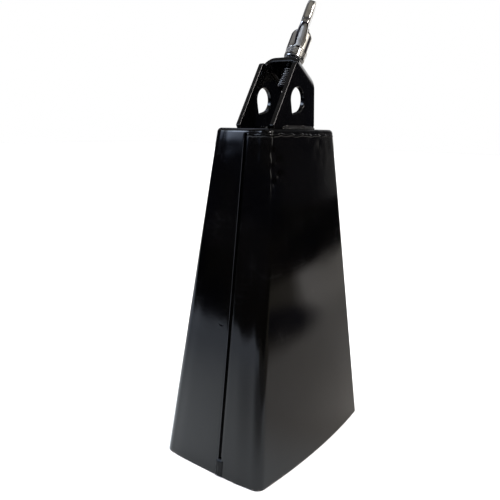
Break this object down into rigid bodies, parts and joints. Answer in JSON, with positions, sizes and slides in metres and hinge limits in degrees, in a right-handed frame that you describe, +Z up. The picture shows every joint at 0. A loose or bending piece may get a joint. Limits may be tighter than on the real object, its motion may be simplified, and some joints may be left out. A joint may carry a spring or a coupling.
{
  "type": "cowbell",
  "caption": "Tapered sheet-steel cowbell with lapped side seams, on a welded bracket with teardrop holes and a slanted wing screw that clamps a mounting rod.",
  "frame": {"origin": "middle of the bell's mouth, on the plane it stands on", "axes": "+Z up from the mouth to the bracket, X along the broad width with the bracket's open side and the pictured seam on -X, Y through the narrow depth, along the rod"},
  "size_m": [0.1298, 0.081, 0.279],
  "materials": {
    "bell_paint": "gloss black coating",
    "bracket_paint": "gloss black coating",
    "weld_steel": "rough weld, thinly coated",
    "plated_casting": "nickel-plated die casting",
    "plated_screw": "zinc-plated thread"
  },
  "bodies": {
    "bell": {"shell_back": "bell_paint", "shell_front": "bell_paint", "lip_weld": "bell_paint", "seam_end_weld_left": "bell_paint", "seam_end_weld_right": "bell_paint", "seam_spot_welds": "bell_paint", "rod_bracket": "bracket_paint", "bracket_weld_front": "weld_steel", "bracket_weld_back": "weld_steel"},
    "captive_washer": {"screw_washer": "plated_screw"},
    "wing_screw": {"wing_head": "plated_casting", "screw_shank": "plated_screw"}
  },
  "joints": [
    {"name": "screw_slide", "type": "slide", "parent": "bell", "child": "captive_washer", "axis": [0.515, 0, 0.8572], "range_m": [-0.0044, 0.008]},
    {"name": "screw_turn", "type": "hinge", "parent": "captive_washer", "child": "wing_screw", "pos_m": [0.01442, 0, 0.2442], "axis": [0.515, 0, 0.8572], "range_deg": [-1270, 2310]}
  ],
  "couplings": [
    {"joint": "screw_turn", "follows": "screw_slide", "rad_per_m": 5026.5}
  ]
}
